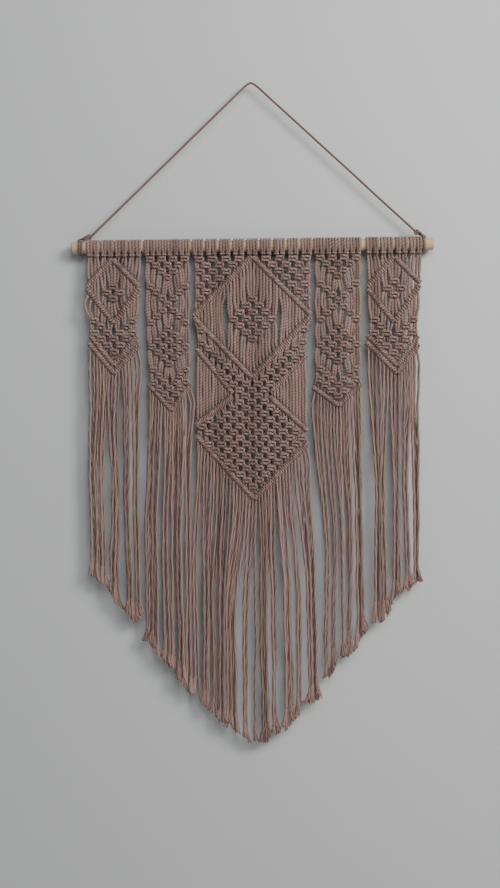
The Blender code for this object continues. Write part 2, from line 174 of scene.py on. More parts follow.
# The diagonal along which the fringe is cut, as (x, drop), and the clumps that it hangs in
CUT_LINES = {
    "1": ((-276, 536), (-250, 560), (-232, 585), (-202, 621), (-190, 612)),
    "2": ((-184, 647), (-164, 674), (-120, 728), (-105, 742)),
    "3": ((-100, 745), (-64, 790), (-47, 792), (-16, 822), (9.5, 823), (47, 799), (80, 762),
          (99, 752)),
    "4": ((104, 723), (117, 716), (135, 690), (162, 667), (186, 640)),
    "5": ((194, 629), (215.5, 616), (231, 582), (268, 560)),
}
Clump = namedtuple("Clump", "cords foot_x width sway")
CLUMPS = {
    "1": (Clump(4, -266.0, 17.0, 1.2), Clump(2, -252.5, 8.0, 1.0), Clump(4, -233.0, 14.0, -2.0),
          Clump(3, -210.0, 11.0, 1.4), Clump(3, -195.5, 9.5, 0.6)),
    "2": (Clump(2, -179.5, 7.0, 0.8), Clump(3, -167.0, 12.0, -0.6), Clump(3, -149.5, 11.0, 0.8),
          Clump(2, -138.5, 7.0, -0.6), Clump(3, -127.0, 12.0, 0.8), Clump(3, -113.0, 12.0, -0.6)),
    "3": (Clump(2, -101.5, 8.0, 0.6), Clump(4, -84.0, 14.0, -0.8), Clump(2, -71.5, 7.5, 0.8),
          Clump(3, -58.5, 12.0, -0.6), Clump(5, -43.5, 18.5, 0.8), Clump(2, -19.5, 7.5, -0.6),
          Clump(1, -3.5, 4.5, -1.6), Clump(4, 13.0, 14.0, 0.8), Clump(2, 27.0, 7.0, -0.6),
          Clump(4, 52.5, 13.0, 0.6), Clump(2, 68.5, 7.0, -0.8), Clump(5, 90.5, 17.5, 0.6)),
    "4": (Clump(3, 116.5, 8.0, -2.0), Clump(3, 128.5, 8.0, -1.6), Clump(3, 142.5, 7.5, -0.8),
          Clump(3, 155.0, 8.0, -1.0), Clump(4, 170.5, 13.0, 0.6)),
    "5": (Clump(3, 200.5, 10.0, -0.8), Clump(3, 210.5, 9.5, 0.6), Clump(4, 232.5, 15.5, -0.6),
          Clump(3, 249.0, 10.0, 0.8), Clump(3, 264.5, 10.5, -0.6)),
}

# Outer cords that arch sideways as they leave the end of a ridge, and how soon
SHOULDER_DROP = 22
SHOULDERS = {("1", 0): -2.0, ("1", 15): 4.0, ("1", 14): 3.0, ("2", 15): 6.5, ("2", 14): 5.0,
             ("3", 35): 4.0, ("3", 34): 3.0, ("4", 0): -3.0, ("5", 15): 2.0}

# Cords that stand aside while they float: beside the middle panel's inner diamond, in
# panel 1's loose outer loop, and round the long windows of the narrow panels
SLIT_DROPS = (88, 170)
SLIT_BULGE = {6: -1.0, 7: -2.5, 8: -4.2, 9: -6.0, 10: 0.6, 26: 4.0, 27: 2.6, 28: 1.2}
LOOP_DROPS = (72, 126)
LOOP_BULGE = (-6.5, -5.0)
WINDOW_GAP = 16
WINDOW_CORDS = range(2, 14)
WINDOW_BULGE = 0.004

# A float has a place for each full DRIFT_STEP, one of FREE_GAP or more hangs in its own
# lane, and a knot starts at least LEAST_STEP below the one before
DRIFT_STEP = 15
FREE_GAP = 40
LEAST_STEP = 0.3

# The fringe: the distance between places, how long before the cut a cord frays, the
# two layers it hangs in, and how often a clump sways
FRINGE_STEP = 22
BRUSH_LENGTHS = (16, 40)
FRINGE_LAYERS = (-1.2, 1.4)
SWAY_ANGLE = 2.6 * math.pi

# A frayed end: how far its yarns start inside the cord and from its middle, how flat
# the brush is, how far it leans and twists, and the shares of its length with a place
BRUSH_OVERLAP = 3
BRUSH_ROOT = 1.2
BRUSH_FLATNESS = 0.6
BRUSH_LEAN = 7
BRUSH_TWIST = 1.5
BRUSH_SHARES = (0.0, 0.2, 0.4, 0.6, 0.8, 1.0)

# Lark's head: one cord from the middle of the bar round the dowel to below the bar,
# as (share of the way from the head's middle to its leg, y, drop)
HEAD_ROUTE = (
    (0.0, -11.0, 14.6), (0.55, -10.8, 14.5), (0.95, -9.2, 14.0), (1.06, -5.4, 12.8),
    (1.1, 0.5, 11.8), (1.08, 6.1, 10.2), (1.04, 10.2, 6.0), (1.0, 11.7, 0.0), (1.0, 10.1, -6.0),
    (1.0, 6.0, -10.1), (1.0, 0.0, -11.7), (1.0, -6.0, -10.1), (1.0, -10.1, -6.0),
    (1.0, -11.7, 0.0), (0.94, -10.7, 5.0), (0.72, -8.7, 9.4), (0.55, -6.7, 13.2),
    (0.75, -6.4, 17.8),
)
BAR_DROP = 13  # places below it are in the bar, which may hang a little lower
SLEEVE_MARGIN = 4  # how far a sleeve's middle may lie outside its panel

# Square knot, as (x, y, distance below its middle), for cords KNOT_PITCH apart: the cord
# that makes both bars, from the right, the one that locks them, from the left, and
# the two inside
KNOT_PITCH = 5.1
BAR_ROUTE = (
    (5.1, -1.0, -3.7), (4.3, -3.3, -3.2), (2.8, -4.3, -2.8), (0.0, -4.8, -2.6),
    (-3.0, -4.3, -2.5), (-5.2, -2.5, -1.7), (-5.8, -1.2, 0.0), (-5.2, -2.5, 1.7),
    (-3.0, -4.3, 2.5), (0.0, -4.8, 2.6), (2.8, -4.3, 2.8), (4.3, -3.3, 3.2), (5.1, -1.0, 3.7),
)
LOCK_ROUTE = (
    (-5.1, -1.8, -3.8), (-5.2, -4.3, -2.9), (-4.3, -3.0, -1.2), (-3.2, 0.8, -1.3),
    (-1.8, 3.7, -1.9), (1.8, 3.9, -2.2), (4.6, 2.0, -2.5), (6.0, -1.5, -2.4), (6.1, -4.7, -1.6),
    (5.9, -5.7, 0.0), (6.1, -4.7, 1.6), (6.0, -1.5, 2.4), (4.6, 2.0, 2.5), (1.8, 3.9, 2.2),
    (-1.8, 3.7, 1.9), (-3.3, 0.8, 1.2), (-4.6, -3.2, 2.0), (-5.2, -4.2, 3.0), (-5.1, -1.8, 3.8),
)
FILLER_ROUTE = ((2.1, -0.2, -5.0), (1.8, 0.5, 0.0), (2.1, -0.2, 5.0))

# Double half hitch, as (share of the spacing along the ridge, y, distance below its
# middle); places farther than HITCH_REACH lie straight above and below, not square to it
HITCH_ROUTE = (
    (0.10, 0.8, -5.6), (-0.08, 2.0, -2.3), (-0.25, 2.4, 0.0), (-0.33, 1.2, 2.3),
    (-0.28, -1.6, 2.4), (-0.24, -2.9, 0.0), (-0.18, -1.6, -2.4), (0.0, 1.0, -2.4),
    (0.10, 2.4, 0.0), (0.18, 1.2, 2.3), (0.24, -1.6, 2.4), (0.27, -2.9, 0.0),
    (0.30, -1.6, -2.4), (0.20, 1.3, -2.2), (0.06, 2.6, 0.2), (0.0, 1.6, 2.5), (0.0, 0.4, 5.8),
)
HITCH_REACH = 2.6
HITCH_FILL = 0.27  # radius of a turn, as a share of the spacing, where cords are crowded


# ------------------------------------------------------------ cord geometry

def world(places):
    """Places in the hanging's own millimetres, as points in metres."""
    p = np.asarray(places, dtype=float)
    return np.stack([p[:, 0], p[:, 1] + DOWEL_MIDDLE[1], DOWEL_MIDDLE[2] - p[:, 2]], axis=1) * MM


def read_line(line, x):
    """The drop of a broken line of (x, drop) places at x."""
    return float(np.interp(x, [p[0] for p in line], [p[1] for p in line]))


def lane(panel, cord, drop):
    """Where a cord of a panel hangs at a drop, if nothing draws it aside."""
    rows = EDGES[panel]
    left = float(np.interp(drop, [r[0] for r in rows], [r[1] for r in rows]))
    right = float(np.interp(drop, [r[0] for r in rows], [r[2] for r in rows]))
    return left + (right - left) * (cord + 0.5) / CORDS[panel]


class Cord:
    """The places one cord goes through, each with its radius and the piece it is part of."""

    def __init__(self, panel, number):
        self.panel, self.number = panel, number
        self.tone = rng.random()
        self.loose_turn = rng.choice((-1, 1)) * rng.uniform(60, 150)
        self.places, self.radii, self.pieces = [], [], []
        self.spread = 1.0

    def go(self, places, piece, radius=CORD_RADIUS):
        """Follows places as part of a piece, first floating to where they start.

        Where a knot starts above the last place, up to two of its places are left out.
        """
        if self.places:
            crowded = [place[2] < self.places[-1][2] + LEAST_STEP for place in places[:2]]
            places = places[2 if all(crowded) else int(crowded[0]):]
            self.drift(places[0])
        for k, place in enumerate(places):
            self.places.append(tuple(place))
            self.radii.append(radius)
            self.pieces.append(piece if k else "net")

    def drift(self, there):
        """Hangs loosely from the last place to the next, a little uneven."""
        here = self.places[-1]
        gap = there[2] - here[2]
        stops = int(gap // DRIFT_STEP)
        for k in range(1, stops + 1):
            share = k / (stops + 1)
            drop = here[2] + gap * share
            out = self.bulge(drop, gap) * math.sin(math.pi * share)
            free = min(1.0, gap / FREE_GAP) * math.sin(math.pi * share)
            x = here[0] + (there[0] - here[0]) * share
            x += (lane(self.panel, self.number, drop) - x) * free + out + rng.uniform(-0.6, 0.6)
            y = here[1] + (there[1] - here[1]) * share + rng.uniform(-0.9, 0.9)
            self.places.append((x, y, drop))
            self.radii.append(FLOAT_RADIUS)
            self.pieces.append("net")

    def bulge(self, drop, gap):
        """How far a floating cord stands aside: the slits, the loose outer loop, the windows."""
        if self.panel == "3" and SLIT_DROPS[0] < drop < SLIT_DROPS[1]:
            return SLIT_BULGE.get(self.number, 0.0)
        if self.panel == "1" and self.number in (0, 1) and LOOP_DROPS[0] < drop < LOOP_DROPS[1]:
            return LOOP_BULGE[self.number]
        if self.panel in ("2", "4") and self.number in WINDOW_CORDS and gap > WINDOW_GAP:
            return WINDOW_BULGE * gap * (self.number - (CORDS[self.panel] - 1) / 2)
        return 0.0


def sample(places, counts):
    """A centripetal Catmull-Rom curve through places, counts[i] steps in each stretch."""
    p = np.asarray(places, dtype=float)
    p = np.concatenate([2 * p[:1] - p[1:2], p, 2 * p[-1:] - p[-2:-1]])
    step = np.sqrt(np.maximum(np.linalg.norm(np.diff(p[:, :3], axis=0), axis=1), 1e-6))[:, None]
    slope = np.diff(p, axis=0) / step
    tangent = (slope[1:] * step[:-1] + slope[:-1] * step[1:]) / (step[1:] + step[:-1])
    start, span = p[1:-2], step[1:-1]
    which = np.repeat(np.arange(len(counts)), counts)
    t = np.concatenate([np.arange(n) / n for n in counts])[:, None]
    a, b = start[which], p[2:-1][which]
    ta, tb = tangent[:-1][which] * span[which], tangent[1:][which] * span[which]
    curve = ((2 * t ** 3 - 3 * t ** 2 + 1) * a + (t ** 3 - 2 * t ** 2 + t) * ta
             + (3 * t ** 2 - 2 * t ** 3) * b + (t ** 3 - t ** 2) * tb)
    return np.concatenate([curve, p[-2:-1]]), np.concatenate([which, which[-1:]])


def frames(line):
    """Two directions square to a line at each of its points, turning as little as they can."""
    tangent = np.gradient(line, axis=0)
    tangent /= np.maximum(np.linalg.norm(tangent, axis=1), 1e-9)[:, None]
    across = np.cross(tangent[0], (0.31, 0.87, 0.12))
    first = []
    for t in tangent:
        across = across - t * across.dot(t)
        across /= max(math.sqrt(across.dot(across)), 1e-9)
        first.append(across)
    first = np.array(first)
    return first, np.cross(tangent, first)


def run_of(line):
    """The length of a line up to each of its points."""
    return np.concatenate([[0.0], np.cumsum(np.linalg.norm(np.diff(line, axis=0), axis=1))])


class Piece:
    """Closed tubes gathered into one mesh."""

    def __init__(self):
        self.verts, self.uvs, self.tones = [], [], []
        self.corners, self.sizes, self.smooth = [], [], []
        self.count = 0

    def tube(self, line, first, second, radii, run, sides, tone, spread=1.0, loose_turn=0, yarn=False):
        """A tube with flat ends: twisted cord, loosened cord with lobed plies, or one yarn."""
        n = len(line)
        k = np.arange(sides)
        loose = loose_turn != 0
        bulk = np.where(k % (sides // PLIES) == 0, PLY_GROOVE, PLY_CREST) if loose else np.ones(sides)
        turn = 2 * math.pi * (k[None, :] / sides - (run / loose_turn if loose else run * 0)[:, None])
        ring = (np.cos(turn)[..., None] * first[:, None] + np.sin(turn)[..., None]
                * second[:, None]) * (np.asarray(radii)[:, None] * bulk[None, :])[..., None]
        ring[..., 0] *= spread
        wide = YARN_PART if yarn else 1.0
        share = YARN_START * yarn + wide * k[None, :] / sides
        share = share - (run / PLY_TURN_MM * (loose or yarn))[:, None]
        self.verts.append((line[:, None] + ring).reshape(-1, 3))
        self.tones.append(np.full(n * sides, tone))
        i = np.arange(n - 1)[:, None]
        base = self.count + i * sides
        after = (k + 1) % sides
        quads = np.stack([base + k, base + after, base + sides + after, base + sides + k], axis=-1)
        self.corners.append(quads.reshape(-1))
        self.sizes.append(np.full((n - 1) * sides, 4))
        lift = wide / sides
        low, high = share[:-1], share[1:]
        v0, v1 = np.broadcast_to(run[:-1, None], low.shape), np.broadcast_to(run[1:, None], low.shape)
        self.uvs.append(np.stack([np.stack([low, v0], -1), np.stack([low + lift, v0], -1),
                                  np.stack([high + lift, v1], -1), np.stack([high, v1], -1)],
                                 axis=2).reshape(-1, 2))
        self.smooth.append(np.ones((n - 1) * sides, dtype=bool))
        for ends, at in ((self.count + k[::-1], run[0]), (self.count + (n - 1) * sides + k, run[-1])):
            self.corners.append(ends)
            self.sizes.append(np.array([sides]))
            self.uvs.append(np.stack([k / sides, np.full(sides, at)], axis=1))
            self.smooth.append(np.zeros(1, dtype=bool))
        self.count += n * sides

    def make(self, name, finish, slot, replaced):
        """The mesh as a piece of the scene, with the cords' twist as its UV and their tones."""
        verts, corners = np.concatenate(self.verts), np.concatenate(self.corners)
        sizes = np.concatenate(self.sizes)
        mesh = bpy.data.meshes.new(name)
        mesh.vertices.add(len(verts))
        mesh.vertices.foreach_set("co", world(verts).reshape(-1))
        mesh.loops.add(len(corners))
        mesh.loops.foreach_set("vertex_index", corners.astype(np.int32))
        mesh.polygons.add(len(sizes))
        starts = np.concatenate([[0], np.cumsum(sizes)[:-1]])
        mesh.polygons.foreach_set("loop_start", starts.astype(np.int32))
        mesh.polygons.foreach_set("use_smooth", np.concatenate(self.smooth))
        layer = mesh.uv_layers.new(name="cord")
        layer.data.foreach_set("uv", np.concatenate(self.uvs).reshape(-1))
        tone = mesh.attributes.new("tone", "FLOAT", "POINT")
        tone.data.foreach_set("value", np.concatenate(self.tones))
        mesh.update(calc_edges=True)
        mesh.validate()
        mesh.materials.append(finish)
        ob = bpy.data.objects.new(name, mesh)
        bpy.context.scene.collection.objects.link(ob)
        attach(ob, "root")
        if replaced:
            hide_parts(*replaced)
        return ob


def lay_cord(cord, pieces):
    """Sweeps a cord and deals its stretches out to the pieces they are part of."""
    places = np.column_stack([np.array(cord.places), cord.radii])
    length = np.linalg.norm(np.diff(places[:, :3], axis=0), axis=1)
    counts = [max(1, round(d / RING_STEP[piece])) for d, piece in zip(length, cord.pieces[1:])]
    curve, stretch = sample(places, counts)
    line, radii = curve[:, :3], curve[:, 3]
    first, second = frames(line)
    run = run_of(line) + TWIST_SHIFT_MM * cord.tone
    names = [cord.pieces[1 + s] for s in stretch]
    start = 0
    for i in range(1, len(line)):
        if i == len(line) - 1 or names[i] != names[start]:
            part = slice(start, i + 1)
            loose = names[start] == "fringe"
            spread = cord.spread if names[start] == "heading" else 1.0
            pieces[names[start]].tube(line[part], first[part], second[part], radii[part], run[part],
                                      LOOSE_SIDES if loose else TUBE_SIDES, cord.tone, spread,
                                      cord.loose_turn if loose else 0)
            start = i


# ------------------------------------------------------- knots and the fringe

def sleeves_of(panel):
    """The frame's sleeves over a panel's lark's heads, as (node, left end, right end)."""
    low, high = EDGES[panel][0][1] - SLEEVE_MARGIN, EDGES[panel][0][2] + SLEEVE_MARGIN
    sleeves = []
    for node in sorted(frame["nodes"]):
        if node.startswith("lark_heads_"):
            left, right = (corner[0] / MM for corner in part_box(node))
            if low < (left + right) / 2 < high:
                sleeves.append((node, left, right))
    return sleeves


def heads_of(panel):
    """The middles of a panel's lark's heads, of which each sleeve covers two."""
    middles = []
    for _, left, right in sleeves_of(panel):
        middle, spacing = (left + right) / 2, (right - left) / 2
        middles += [middle - spacing / 2, middle + spacing / 2]
    return middles


def lark_heads(panel, cords):
    """One head for each two cords, snug against the next, so cords on the dowel lie flattened."""
    middles = heads_of(panel)
    leg = min(b - a for a, b in zip(middles, middles[1:])) / 4
    for k, middle in enumerate(middles):
        shift = rng.uniform(-0.3, 0.3)
        low = rng.uniform(-0.5, 0.7)
        for side, cord in ((-1, cords[2 * k]), (1, cords[2 * k + 1])):
            cord.spread = leg / WRAP_RADIUS * rng.uniform(0.88, 0.97)
            cord.go([(middle + shift + side * x * leg, y, d + low * (d > BAR_DROP))
                     for x, y, d in HEAD_ROUTE], "heading", WRAP_RADIUS)


def square_knot(cords, first, drop, panel):
    """One square knot of four cords: two bars in front, locked by a bump at the right."""
    x = lane(panel, first + 1.5, drop) + rng.uniform(-0.5, 0.5)
    drop += rng.uniform(-0.4, 0.4)
    tilt = rng.uniform(-0.05, 0.05)
    pitch = lane(panel, first + 2, drop) - lane(panel, first + 1, drop)
    wide = rng.uniform(0.97, 1.05) * pitch / KNOT_PITCH
    deep = rng.uniform(0.94, 1.06)

    def put(route, side=1):
        return [(x + side * u * wide - d * tilt, CLOTH_Y + v * deep, drop + d + side * u * tilt)
                for u, v, d in route]

    cords[first].go(put(LOCK_ROUTE), "knots", KNOT_RADIUS)
    cords[first + 1].go(put(FILLER_ROUTE, -1), "net")
    cords[first + 2].go(put(FILLER_ROUTE), "net")
    cords[first + 3].go(put(BAR_ROUTE), "knots", KNOT_RADIUS)


def knot_rows(cords, rows, drops, panel, mirror=0):
    """Rows of square knots, and their mirror images where mirror is the last knot's first cord."""
    for row, drop in zip(rows, drops):
        for first in row:
            square_knot(cords, first, drop, panel)
            if mirror:
                square_knot(cords, mirror - first, drop, panel)


def half_hitches(cords, ridge, carriers):
    """A ridge: each cord takes two turns about the carrier cord that runs inside it."""
    left, right = np.array(ridge.left, dtype=float), np.array(ridge.right, dtype=float)
    number = ridge.last - ridge.first + 1
    along = (right - left) / number
    spacing = float(np.linalg.norm(along))
    tangent = along / spacing
    down = np.array([-tangent[1], tangent[0]])
    for k in range(number):
        middle = left + along * (k + 0.5 + rng.uniform(-0.03, 0.03))
        swell = rng.uniform(0.96, 1.06)
        route = []
        for t, y, n in HITCH_ROUTE:
            at = middle + tangent * (t * spacing)
            at = at + (down * n * swell if abs(n) < HITCH_REACH else np.array([0.0, n]))
            route.append((at[0], RIDGE_Y + y * swell, at[1]))
        cords[ridge.first + k].go(route, "ridges", min(RIDGE_RADIUS, spacing * HITCH_FILL))
    carrier = Cord("", 0)
    bow = [left + (right - left) * s for s in np.linspace(-0.01, 1.01, 9)]
    carrier.go([(b[0], RIDGE_Y, b[1]) for b in bow], "ridges", CARRIER_RADIUS)
    carrier.pieces = ["ridges"] * len(carrier.pieces)
    carriers.append(carrier)


def lattice(cords, panel, above, below, rows):
    """Alternating square knots that fill the room between two broken lines."""
    for k in rows:
        drop = LATTICE_TOP + LATTICE_PITCH * k
        for first in range(2 * (k % 2), CORDS[panel] - 3, 4):
            x = lane(panel, first + 1.5, drop)
            top = max(read_line(above, x + aside) for aside in ROOM_ASIDE)
            foot = min(read_line(below, x + aside) for aside in ROOM_ASIDE)
            if top + ROOM_BELOW_RIDGE < drop < foot - ROOM_ABOVE_RIDGE:
                square_knot(cords, first, drop, panel)


def clump_of(panel, cord):
    """The clump a cord hangs in, and its place among the clump's cords."""
    first = 0
    for clump in CLUMPS[panel]:
        if cord < first + clump.cords:
            return clump, cord - first
        first += clump.cords


def hang_fringe(cord):
    """The loose end of a cord: drawn into its clump, wavering, down to where it frays."""
    clump, place = clump_of(cord.panel, cord.number)
    share_out = place / max(clump.cords - 1, 1) - 0.5
    foot_x = clump.foot_x + share_out * (clump.width - 2 * CORD_RADIUS) + rng.uniform(-0.8, 0.8)
    start = cord.places[-1]
    length = read_line(CUT_LINES[cord.panel], foot_x) - rng.uniform(*BRUSH_LENGTHS) - start[2]
    layer = FRINGE_LAYERS[place % 2] + rng.uniform(-0.8, 0.8)
    turns, phase, reach = rng.uniform(1.6, 5.0), rng.uniform(0, WAVE_TURN), rng.uniform(0.2, 0.8)
    slow, slow_phase = rng.uniform(0.4, 0.9), rng.uniform(0, WAVE_TURN)
    shoulder = SHOULDERS.get((cord.panel, cord.number), 0.0)
    stops = max(8, round(length / FRINGE_STEP))
    for k in range(1, stops + 1):
        share = k / stops
        drawn = min(share * 1.7, 1.0)
        drawn = drawn * drawn * (3 - 2 * drawn)
        loose = min(1.0, share * 5)
        down = length * share
        x = start[0] + (foot_x - start[0]) * drawn + clump.sway * math.sin(SWAY_ANGLE * share)
        x += loose * reach * math.sin(turns * WAVE_TURN * share + phase)
        x += loose * 0.9 * math.sin(slow * WAVE_TURN * share + slow_phase)
        x += shoulder * down / SHOULDER_DROP * math.exp(1 - down / SHOULDER_DROP)
        y = CLOTH_Y + layer * loose + loose * reach * math.cos(turns * WAVE_TURN * share + phase)
        cord.places.append((x, y, start[2] + down))
        cord.radii.append(CORD_RADIUS * (1.03 if k < stops else 0.95))
        cord.pieces.append("fringe")


def fray(cord, piece):
    """The end of a cord has come untwisted: yarns that open like a brush down to the cut."""
    clump, place = clump_of(cord.panel, cord.number)
    share_out = place / max(clump.cords - 1, 1) - 0.5
    end = np.array(cord.places[-1])
    spin, late = rng.uniform(0, WAVE_TURN), rng.uniform(-9, 3)
    lean = share_out * BRUSH_LEAN + rng.uniform(-3.6, 3.6)
    for k in range(YARNS):
        turn = spin + 2 * math.pi * k / YARNS
        spread, wave = rng.uniform(1.6, 5.4), rng.uniform(-0.7, 0.7)
        thick = rng.uniform(0.8, 1.1)
        foot_x = end[0] + math.cos(turn + BRUSH_TWIST) * spread + lean
        reach = read_line(CUT_LINES[cord.panel], foot_x) + late + rng.uniform(-3.0, 1.5) - end[2]
        places = []
        for share in BRUSH_SHARES:
            out = BRUSH_ROOT + (spread - BRUSH_ROOT) * share ** 1.3
            twist = turn + BRUSH_TWIST * share
            x = end[0] + math.cos(twist) * out + lean * share ** 1.6 + wave * math.sin(9 * share)
            y = end[1] + math.sin(twist) * out * BRUSH_FLATNESS
            drop = end[2] - BRUSH_OVERLAP + (reach + BRUSH_OVERLAP) * share
            places.append((x, y, drop))
        line, _ = sample(np.array(places), [2] * (len(places) - 1))
        first, second = frames(line)
        run = run_of(line)
        radii = np.interp(np.linspace(0, 1, len(line)), (0, 0.8, 1), (1, 1.05, 0.9)) * thick
        tone = min(1.0, max(0.0, cord.tone + rng.uniform(-0.4, 0.3)))
        piece.tube(line, first, second, radii, run, TIP_SIDES, tone, yarn=True)


# ----------------------------------------------------------------- the panels

def weave_outer(panel, cords, carriers):
    """A side panel: ridge diamond round a small cluster, then a chevron and a double V."""
    diamond, v = RIDGES["diamond_" + panel], RIDGES["v_" + panel]
    for ridge in diamond[:2]:
        half_hitches(cords, ridge, carriers)
    knot_rows(cords, CLUSTER_ROWS, CLUSTER_DROPS[panel], panel)
    for ridge in diamond[2:]:
        half_hitches(cords, ridge, carriers)
    knot_rows(cords, CHEVRON_ROWS, CHEVRON_DROPS[panel], panel)
    for ridge in v:
        half_hitches(cords, ridge, carriers)


def weave_narrow(panel, cords, carriers):
    """A narrow panel: open lozenges of square knots that end in a V."""
    knot_rows(cords, LOZENGE_ROWS, LOZENGE_DROPS[panel], panel)
    for ridge in RIDGES["v_" + panel]:
        half_hitches(cords, ridge, carriers)


def weave_middle(panel, cords, carriers):
    """The middle panel: two lozenges joined at a knotted waist, ending in a V."""
    knot_rows(cords, CORNER_ROWS, CORNER_DROPS, panel, mirror=CORDS[panel] - 4)
    for ridge in RIDGES["top_3"]:
        half_hitches(cords, ridge, carriers)
    knot_rows(cords, INNER_ROWS, INNER_DROPS, panel)
    for ridge in RIDGES["low_3"]:
        half_hitches(cords, ridge, carriers)
    low, belt, hip, v = (RIDGES[name] for name in ("low_3", "belt_3", "hip_3", "v_3"))
    diamond_foot = (low[0].left, low[0].right, low[1].right)
    belt_line = (belt[0].left, belt[0].right, *((x, NO_RIDGE_BELOW) for x in WAIST_X),
                 belt[1].left, belt[1].right)
    waist_row = round((WAIST_DROP - LATTICE_TOP) / LATTICE_PITCH)
    lattice(cords, panel, diamond_foot, belt_line, range(0, waist_row + 1))
    for ridge in (*belt, *hip):
        half_hitches(cords, ridge, carriers)
    hip_line = (hip[0].left, hip[0].right, *((x, NO_RIDGE_ABOVE) for x in WAIST_X),
                hip[1].left, hip[1].right)
    v_line = (v[0].left, v[0].right, v[1].right)
    lattice(cords, panel, hip_line, v_line, range(waist_row + 1, LATTICE_ROWS))
    for ridge in v:
        half_hitches(cords, ridge, carriers)


WEAVES = {"1": weave_outer, "2": weave_narrow, "3": weave_middle, "4": weave_narrow, "5": weave_outer}


def make_panel(panel, finish):
    """A panel with its heading and fringe, tied from the dowel down."""
    cords = [Cord(panel, n) for n in range(CORDS[panel])]
    carriers = []
    lark_heads(panel, cords)
    WEAVES[panel](panel, cords, carriers)
    pieces = {name: Piece() for name in RING_STEP}
    for cord in cords:
        hang_fringe(cord)
        lay_cord(cord, pieces)
        fray(cord, pieces["fringe"])
    for carrier in carriers:
        lay_cord(carrier, pieces)
    replaced = {"heading": [node for node, _, _ in sleeves_of(panel)],
                "net": ["panel_" + panel], "fringe": ["fringe_" + panel]}
    made = {name: pieces[name].make(PIECE_NAMES[name] + panel, finish, "cotton", replaced.get(name, []))
            for name in pieces}


# ------------------------------------------------------------ dowel and cord

# Profile of the rod's cut ends, as (distance from the end, radius), where the full
# thickness starts, which radii are uneven, and how far the cut leans within its reach
DOWEL_END = ((0.0, 0.0), (0.15, 7.6), (0.7, 9.0), (1.8, 9.85))
DOWEL_INSET = 3
UNEVEN_FROM = 8
END_SLANT, SLANT_RADIUS, SLANT_REACH = 0.5, 10, 2
DOWEL_SHRINK = 0.03  # keeps the wood just inside the cords' inner side


def make_dowel(finish):
    """The rod: turned wood, faintly uneven, with rounded hand-cut ends."""
    low, high = DOWEL_BOX[0][0], DOWEL_BOX[1][0]
    around, along = 48, 90
    step = high - low - 2 * DOWEL_INSET
    stations = [(low + inset, radius) for inset, radius in DOWEL_END]
    stations += [(low + DOWEL_INSET + step * i / along, DOWEL_RADIUS - DOWEL_SHRINK)
                 for i in range(along + 1)]
    stations += [(high - inset, radius) for inset, radius in reversed(DOWEL_END)]
    verts, faces = [], []
    for x, radius in stations:
        for k in range(around):
            turn = 2 * math.pi * k / around
            uneven = 0.1 * math.sin(x * 0.031 + 2 * turn) + 0.07 * math.sin(x * 0.083 + turn * 3)
            r = max(0.0, radius - abs(uneven) * (radius > UNEVEN_FROM))
            slant = END_SLANT * math.cos(turn - 0.8) if abs(x) > high - SLANT_REACH else 0.0
            slanted = x - math.copysign(abs(slant), x) * (radius / SLANT_RADIUS)
            verts.append((slanted, r * math.cos(turn), r * math.sin(turn)))
    for i in range(len(stations) - 1):
        for k in range(around):
            a, b = i * around + k, i * around + (k + 1) % around
            faces.append((a, b, b + around, a + around))
    mesh = bpy.data.meshes.new("dowel_rod")
    mesh.from_pydata([tuple(v) for v in world(verts)], [], faces)
    mesh.validate()
    rod = bpy.data.objects.new("dowel_rod", mesh)
    bpy.context.scene.collection.objects.link(rod)
    mesh.materials.append(finish)
    mesh.shade_smooth()
    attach(rod, "root")
    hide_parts("dowel")


# Hanging cord: places along its middle from the left hitch over the nail to
# the right hitch, as (x, height above the origin), the same as the frame's
CORD_ROUTE = (
    (-264.0, -246.1), (-250.0, -232.8), (-228.0, -211.8), (-198.0, -183.1), (-162.0, -148.8),
    (-124.0, -112.4), (-86.0, -76.2), (-50.0, -41.8), (-25.0, -18.0), (-10.0, -4.0),
    (0.0, 2.3), (10.0, -3.7), (26.0, -18.5), (54.0, -44.6), (90.0, -78.2), (128.0, -113.8),
    (164.0, -147.2), (200.0, -181.4), (234.0, -213.2), (256.0, -233.6), (269.6, -246.3),
)
LINE_STEP = 5


def make_hanging_cord(finish):
    """The cord over the nail, with the path along its middle and its length in metres."""
    places = [(x, 0.0, DOWEL_MIDDLE[2] - z) for x, z in CORD_ROUTE]
    counts = [max(2, round(math.dist(a, b) / LINE_STEP)) for a, b in zip(places, places[1:])]
    line, _ = sample(np.array(places), counts)
    first, second = frames(line)
    run = run_of(line)
    piece = Piece()
    piece.tube(line, first, second, np.full(len(line), HANGING_RADIUS), run, LINE_SIDES, HANGING_TONE)
    ob = piece.make("hanging_line", finish, "cotton", ["hanging_cord"])
    path = [tuple(p) for p in world(line)]
    return ob, path, float(run[-1]) * MM


